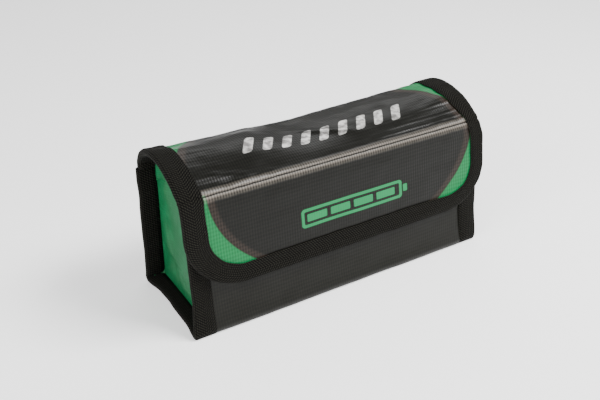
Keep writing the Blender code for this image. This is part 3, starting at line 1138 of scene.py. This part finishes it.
def end_tape_place(stop, inwards, depth):
    side, reach = stop
    out = (end_half - tape_depth - inwards) + flare(side, reach) * smooth(12 * mm, 0.0, inwards)
    point, outward = tape_line.at(reach, depth + tape_depth)
    bulge = 0.25 * mm * wobble(reach / (13 * mm), side * 2.0, 8.0)
    bulge = max(bulge, -0.1 * mm) * smooth(10 * mm, 2 * mm, abs(inwards - 5 * mm))
    corner = 1.25 * bell(reach, tape_front_foot + 2.6 * mm, 2.6 * mm)
    corner += 1.25 * bell(reach, tape_back_foot + 2.6 * mm, 2.6 * mm)
    foot = tape_front_foot - 3 * mm < reach < tape_back_foot + 3 * mm
    lift = corner * mm + (0.0 if foot else bulge)
    height = max(point.y + outward.y * lift, 0.02 * mm + depth + tape_depth)
    return pull_foot(Vector((side * out, point.x + outward.x * lift, height)))


def end_tape_section(stop):
    return tape_section(side_leg, end_inner_leg, -tape_depth, end_tape_inner)


for word, side in both_ends:
    rows = stations((0.0, 1.6 * mm), (tape_front_foot - 3 * mm, 0.6 * mm),
                    (tape_front_foot + 5 * mm, 1.6 * mm), (tape_back_foot - 5 * mm, 0.6 * mm),
                    (tape_back_foot + 3 * mm, 1.6 * mm), (end_back_top, 1.0))
    piece = tape_piece(word + "_end_tape", [(side, reach) for reach in rows], end_tape_section,
                       end_tape_place, 6.0 + side, lambda point: Vector((0.0, point.y, point.z - 35 * mm)))
    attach(piece, "body")
    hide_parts(word + "_end_binding")
    print(word, "end tape", size_of(piece))

# %% [markdown]
# ## The green end walls
# Each end wall is a tray: a panel set in from the end, with its edges turned outwards to lie on the
# outer cloth under the tape. The panel is settled as loose cloth with its edges held, then its three
# sewn edges are extruded: first round a small bend, then straight out to the end.

# %% End walls
gusset_x = 82.9 * mm
bend_radius = 1.5 * mm
panel_depth = 1.8 * mm + bend_radius
panel_columns = 30
panel_rows = 36
panel_foot = 0.6 * mm
green_thickness = 0.5 * mm
wall_growth = 0.010
deepest_bow = 2.4 * mm
lining_gap = 0.9 * mm
wall_top_front = 68.4 * mm
wall_top_climb = 4.0 * mm
wall_arch_rise = 7.0 * mm


def wall_top(across):
    """Height of an end wall's top edge, from front (0) to back (1)."""
    return wall_top_front + wall_top_climb * across + wall_arch(across)


def wall_arch(across):
    """How far an end wall's top edge rises towards the dome, from front (0) to back (1)."""
    return wall_arch_rise * math.sin(math.pi * min(max(across, 0.0), 1.0)) ** 0.8


def panel_place(column, row, side, x):
    """A point of the flat end wall, with its lower corners rounded."""
    share = row / panel_rows
    across = column / panel_columns
    low = panel_depth
    height = low + (wall_top(across) - low) * share
    into = max(0.0, panel_foot - (height - low))
    drawn = panel_foot - math.sqrt(max(0.0, panel_foot ** 2 - into ** 2))
    front = front_wall_y(panel_depth, height) + drawn
    rear = back_wall_y(panel_depth, height) - drawn
    return Vector((side * x, front + (rear - front) * across, height))


def settle_wall(side, seed):
    """Heights of an end wall after it has buckled between its held edges."""
    def start_at(column, row):
        place = panel_place(column, row, side, gusset_x)
        inner = math.sin(math.pi * column / panel_columns) * min(1.0, row / 8)
        bow = -1.1 * mm * inner
        bow += 0.5 * mm * inner * wobble(place.y / (13 * mm), place.z / (17 * mm), seed)
        place.x += side * bow
        return place

    ends = settle_grid(panel_columns, panel_rows, start_at, wall_growth)[1]
    table = {}
    for spot, place in ends.items():
        moved = side * (place.x - panel_place(*spot, side, gusset_x).x)
        table[spot] = deepest_bow * math.tanh(moved / deepest_bow)
    print("end wall bows", round(min(table.values()) / mm, 2), "to", round(max(table.values()) / mm, 2))
    return table


wall_bows = {}


def wall_bow(side, across, height):
    """How far an end wall stands out of its plane, read between its settled points."""
    low = panel_depth
    up = (height - low) / (wall_top(across) - low)
    column = min(max(across, 0.0), 0.999) * panel_columns
    row = min(max(up, 0.0), 0.999) * panel_rows
    left, foot = int(column), int(row)
    bows = wall_bows[side]
    lower = bows[left, foot] * (left + 1 - column) + bows[left + 1, foot] * (column - left)
    upper = bows[left, foot + 1] * (left + 1 - column) + bows[left + 1, foot + 1] * (column - left)
    return lower * (foot + 1 - row) + upper * (row - foot)


def end_wall(word, side):
    table = settle_wall(side, 2.0 + side)
    wall_bows[side] = table

    def place_at(column, row):
        place = panel_place(column, row, side, gusset_x)
        place.x += side * table[column, row]
        return place

    bm, spots = grid_mesh(panel_columns, panel_rows, place_at)
    bm.verts.ensure_lookup_table()
    for vert in bm.verts:
        vert.co = pull_foot(vert.co)
    layer = bm.loops.layers.uv.new("cloth")
    held = {}
    for index, (column, row) in spots.items():
        away = Vector((0.0, -1.0 * (column == 0) + 1.0 * (column == panel_columns), -1.0 * (row == 0)))
        if away.length > 0.0:
            held[bm.verts[index]] = away
    edges = [edge for edge in bm.edges if edge.is_boundary and all(vert in held for vert in edge.verts)
             and not all(spots[vert.index][1] == panel_rows for vert in edge.verts)]
    turns = [math.pi / 8 * step for step in range(1, 5)]
    rings = [(math.sin(turn) * bend_radius, (1 - math.cos(turn)) * bend_radius) for turn in turns]
    rings += [(bend_radius, out) for out in (3.0 * mm, 4.8 * mm, 6.4 * mm)]
    starts = {vert: (vert.co.copy(), way) for vert, way in held.items()}
    for to_wall, outwards in rings:
        made = bmesh.ops.extrude_edge_only(bm, edges=edges)["geom"]
        edges = [item for item in made if isinstance(item, bmesh.types.BMEdge)
                 and all(vert not in starts for vert in item.verts)]
        fresh = {}
        for vert in {vert for edge in edges for vert in edge.verts}:
            for edge in vert.link_edges:
                before = edge.other_vert(vert)
                if before in starts:
                    fresh[vert] = starts[before]
        for vert, (start, way) in fresh.items():
            vert.co = start + way * to_wall + Vector((side * outwards, 0.0, 0.0))
        starts = fresh
    for face in bm.faces:
        for loop in face.loops:
            place = loop.vert.co
            beyond = abs(place.x) - gusset_x
            loop[layer].uv = (place.y, place.z + beyond)
    bm.normal_update()
    bmesh.ops.recalc_face_normals(bm, faces=bm.faces)
    bm.faces.ensure_lookup_table()
    panel_face = max(bm.faces, key=lambda face: abs(face.normal.x))
    if panel_face.normal.x * side < 0.0:
        bmesh.ops.reverse_faces(bm, faces=bm.faces)
    piece = make_object(word + "_end_wall", bm, green)
    thicken(piece, green_thickness)
    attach(piece, "body")
    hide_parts(word + "_gusset")

    def lining_at(column, row):
        place = place_at(column, row)
        place.x -= side * lining_gap
        return place

    def lining_uv(column, row):
        place = lining_at(column, row)
        return place.y, place.z

    inner = cloth_piece(word + "_end_lining", panel_columns, panel_rows, lining_at, lining_uv,
                        0.45 * mm, silver_lining, lambda point: Vector((side, 0.0, 0.0)))
    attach(inner, "body")
    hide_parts(word + "_gusset_lining")
    return piece, inner


left_wall, left_wall_lining = end_wall("left", -1)
right_wall, right_wall_lining = end_wall("right", 1)
print("end wall", size_of(left_wall), "mm")

# %% [markdown]
# ## Tapes on the rims
# The top edge of the front wall is raw too, so it has the same folded tape. Each end wall has a folded
# hem of its own green cloth, which follows the wall's bow and arches up towards the dome.

# %% Rim tapes
rim_leg = 9.4 * mm


def rim_section(half_width):
    """(across, down) points of a U over an edge, from the outer leg's end to the inner leg's end."""
    points = [(-half_width, rim_leg), (-half_width - 0.05 * mm, rim_leg * 0.6), (-half_width, 1.8 * mm)]
    for step in range(1, 8):
        angle = math.pi * step / 8
        points.append((-half_width * math.cos(angle), 1.5 * mm - 1.5 * mm * math.sin(angle)))
    points += [(half_width, 1.8 * mm), (half_width + 0.05 * mm, rim_leg * 0.6), (half_width, rim_leg)]
    return points


def rim_tape(name, count, section, place, node, wanted, material):
    lengths = section_lengths(section)

    def place_at(column, row):
        across, down = section[column]
        sway = 0.12 * mm * wobble(row * 0.13, 3.0, 1.0)
        return place(row / count, across, down + sway)

    def uv_at(column, row):
        start = place(0.0, 0.0, 0.0)
        return lengths[column], (place(row / count, 0.0, 0.0) - start).length

    piece = cloth_piece(name, len(section) - 1, count, place_at, uv_at, tape_thickness, material,
                        wanted)
    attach(piece, "body")
    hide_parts(node)
    print(name, size_of(piece))
    return piece


front_rim_top = front_top + 0.9 * mm
front_rim_half = 2.25 * mm
front_rim_end = 79.9 * mm
wall_hem_half = 1.35 * mm
wall_hem_rise = 1.2 * mm
wall_hem_front = front_wall_y(6.0 * mm, front_top)
wall_hem_back = back_wall_y(4.4 * mm, 73 * mm)
wall_hem_x = gusset_x - 0.7 * mm


def front_rim_place(share, across, down):
    height = front_rim_top - down
    y = front_wall_y(front_rim_half + across, height)
    return Vector(((share * 2 - 1) * front_rim_end, y, height))


front_rim = rim_tape("front_rim_tape", 80, rim_section(front_rim_half), front_rim_place,
                     "front_rim_binding", lambda point: Vector((0.0, point.y + 20 * mm, 1.0)),
                     tape)
for word, side in both_ends:
    def wall_rim_place(share, across, down, side=side):
        height = wall_top(share) + wall_hem_rise - down
        out = wall_hem_x + wall_bow(side, share, height)
        y = wall_hem_front + (wall_hem_back - wall_hem_front) * share
        return Vector((side * (out - across), y, height))

    def away_from_hem(point, side=side):
        return Vector((side * (abs(point.x) - wall_hem_x), 0.0, 0.02))

    rim_tape(word + "_wall_rim_tape", 30, rim_section(wall_hem_half), wall_rim_place,
                              word + "_gusset_rim_binding", away_from_hem, green)

# %% [markdown]
# ## Closure strips
# The loop strip on the front wall is a mat of soft loops, the hook strip inside the flap a field of
# stiff bent hooks. The mat is a crumpled grid. Each hook is a bent post of few faces, because there
# are hundreds of them.

# %% Loop and hook strips
strip_half = 59.0 * mm
strip_low = 38.6 * mm
strip_high = 56.6 * mm
loop_columns = 150
loop_rows = 24


def loop_place(column, row):
    x = strip_half * (2.0 * column / loop_columns - 1.0)
    height = strip_low + (strip_high - strip_low) * row / loop_rows
    edge = min(column, loop_columns - column, row, loop_rows - row)
    pile_height = 0.25 * mm + (0.0 if edge == 0 else 0.42 * mm)
    pile_height += 0.14 * mm * wobble(x / (0.9 * mm), height / (0.9 * mm), 2.0)
    return Vector((x, front_wall_y(tape_depth - 0.15 * mm, height) - pile_height, height))


def loop_uv(column, row):
    place = loop_place(column, row)
    return place.x, place.z


loop_strip = cloth_piece("loop_strip_pile", loop_columns, loop_rows, loop_place, loop_uv, 0.4 * mm, pile,
                         lambda point: Vector((0.0, -1.0, 0.0)))
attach(loop_strip, "body")
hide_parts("loop_strip")

hook_top = hem_reach - (strip_high - flap_hem) * math.hypot(1.0, 0.10)
hook_bottom = hem_reach - (strip_low - flap_hem) * math.hypot(1.0, 0.10)
hook_base_depth = 2.25 * mm
hook_pitch = 2.2 * mm
hook_margin = 1.5 * mm
base_columns = 60
base_rows = 9


def hook_base_uv(column, row):
    x = strip_half * (2.0 * column / base_columns - 1.0)
    return x, hook_top + (hook_bottom - hook_top) * row / base_rows


def hook_base_place(column, row):
    return on_cloth(*hook_base_uv(column, row), hook_base_depth)


hook_base = cloth_piece("hook_strip_base", base_columns, base_rows, hook_base_place, hook_base_uv,
                        0.35 * mm, pile, away_from_middle)
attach(hook_base, "flap_front")
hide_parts("hook_strip")


def add_hook(bm, x, reach):
    """One bent post: a four-sided start, extruded inwards and then over to one side."""
    foot = on_cloth(x, reach, hook_base_depth + 0.33 * mm)
    inward = (on_cloth(x, reach, hook_base_depth + 1.33 * mm) - foot).normalized()
    start = bmesh.ops.create_circle(bm, cap_ends=True, segments=4, radius=0.16 * mm)["verts"]
    turn = inward.to_track_quat("Z", "Y").to_matrix().to_4x4()
    turn.translation = foot
    bmesh.ops.transform(bm, matrix=turn, verts=start)
    face = start[0].link_faces[0]
    for step in (inward * 0.32 * mm, inward * 0.12 * mm + Vector((0.16 * mm, 0.0, 0.0)),
                 Vector((0.16 * mm, 0.0, 0.0)) - inward * 0.08 * mm):
        made = bmesh.ops.extrude_discrete_faces(bm, faces=[face])["faces"]
        face = made[0]
        bmesh.ops.translate(bm, vec=step, verts=face.verts)


hook_bm = bmesh.new()
hook_columns = int(2 * (strip_half - hook_margin) / hook_pitch)
hook_rows = int((hook_bottom - hook_top - 2 * mm) / hook_pitch)
for column in range(hook_columns + 1):
    x = -strip_half + hook_margin + column * hook_pitch
    for row in range(hook_rows + 1):
        add_hook(hook_bm, x, hook_top + 1.0 * mm + row * hook_pitch)
hooks = make_object("hook_strip_hooks", hook_bm, pile)
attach(hooks, "flap_front")
print("hooks", (hook_columns + 1) * (hook_rows + 1), "faces", len(hooks.data.polygons))

# %% [markdown]
# ## Stitching
# The flap's tape and the end tapes are held by a line of thread, 2 mm in from the edge, and the loop
# strip by two. A stitch is a short thread half sunk in the tape, so a small round shape of twenty faces,
# stretched along the line, is enough.

# %% Stitches
stitch_pitch = 3.0 * mm
stitch_inset = 2.0 * mm


def stitch_piece(name, points, normals):
    """One stitch for each pair of points along a seam."""
    bm = bmesh.new()
    for start, end, normal in zip(points, points[1:], normals):
        along = end - start
        side = along.cross(normal).normalized()
        size = Vector((along.length * 0.36, 0.26 * mm, 0.2 * mm))
        ball = bmesh.ops.create_icosphere(bm, subdivisions=1, radius=1.0)["verts"]
        bmesh.ops.scale(bm, vec=size, verts=ball)
        axes = (along.normalized(), side, normal.normalized())
        for vert in ball:
            local = vert.co.copy()
            turned = sum((axis * value for axis, value in zip(axes, local)), Vector())
            vert.co = start + along * 0.5 + turned
    return make_object(name, bm, thread)


def evenly(stops, place):
    """Stops at even steps along a seam, with their points and outward normals."""
    points = [place(stop, 0.0) for stop in stops]
    reach = lengths_along(points)
    count = int(reach[-1] / stitch_pitch)
    chosen, normals = [], []
    leg = 0
    for index in range(count + 1):
        goal = reach[-1] * index / count
        while leg < len(points) - 2 and reach[leg + 1] < goal:
            leg += 1
        share = (goal - reach[leg]) / max(reach[leg + 1] - reach[leg], 1e-9)
        chosen.append(points[leg].lerp(points[leg + 1], share))
        normals.append((place(stops[leg], 0.001) - points[leg]).normalized())
    return chosen, normals


def flap_stitch_place(depth_at):
    def place(stop, up):
        return flap_tape_place(stop, stop[4] - stitch_inset, depth_at + (-up if depth_at < 0 else up))
    return place


stitch_lift = 0.05 * mm
seams = []
for name, depth in (("flap_stitches_outside", -tape_depth - stitch_lift),
                    ("flap_stitches_inside", flap_tape_inner + stitch_lift)):
    seam = stitch_piece(name, *evenly(flap_stops, flap_stitch_place(depth)))
    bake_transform(seam)
    seams.append(seam)


def end_stitch_place(stop, up):
    return end_tape_place(stop, side_leg - stitch_inset, -0.92 * mm - up)


end_seams = {}
for word, side in both_ends:
    rows = stations((1.0 * mm, 1.5 * mm), (end_back_top - 1.0 * mm, 1.0))
    stops = [(side, reach) for reach in rows]
    seam = stitch_piece(word + "_end_stitches", *evenly(stops, end_stitch_place))
    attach(seam, "body")
    end_seams[side] = seam
strip_seams = []


def strip_stitch_place(stop, up):
    x, height = stop
    return Vector((x, front_wall_y(tape_depth - 0.85 * mm - up, height), height))


for index, height in enumerate((strip_low + 1.2 * mm, strip_high - 1.2 * mm)):
    stops = [(-strip_half + hook_margin + step * stitch_pitch, height) for step in range(39)]
    seam = stitch_piece("loop_strip_stitches_" + str(index + 1), *evenly(stops, strip_stitch_place))
    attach(seam, "body")
    strip_seams.append(seam)
all_seams = [*seams, *end_seams.values(), *strip_seams]
print("stitches", sum(len(seam.data.polygons) for seam in all_seams) // 20)

# %% [markdown]
# ## What each sheet was cut to
# A sheet of cloth has a size before it is sewn.

# %% Flat sizes
def flat_area(piece):
    """Area of one side of a closed sheet."""
    return sum(face.area for face in piece.data.polygons) / 2.0


def declare(piece, width, length):
    area = min(flat_area(piece), width * length)
    print(piece.name, "cut to", round(width / mm, 1), "x", round(length / mm, 1), "mm")


declare(body_cloth, 2 * body_half, split_reach - rim_reach)
declare(flap_cloth, 2 * flap_half, hem_reach - split_reach)
declare(wall_lining, 2 * flap_half, split_reach - rim_reach)
declare(flap_lining, 2 * flap_half, hem_reach - split_reach)
declare(dome_padding, 2 * flap_half, crease_reach - 9 * mm)
declare(front_padding, 2 * flap_half, hem_reach - crease_reach - 4 * mm)
wall_width = 76.0 * mm
wall_length = 85.0 * mm
wall_lining_width = 60.0 * mm
wall_lining_length = 77.0 * mm
declare(left_wall, wall_width, wall_length)
declare(right_wall, wall_width, wall_length)
declare(left_wall_lining, wall_lining_width, wall_lining_length)
declare(right_wall_lining, wall_lining_width, wall_lining_length)
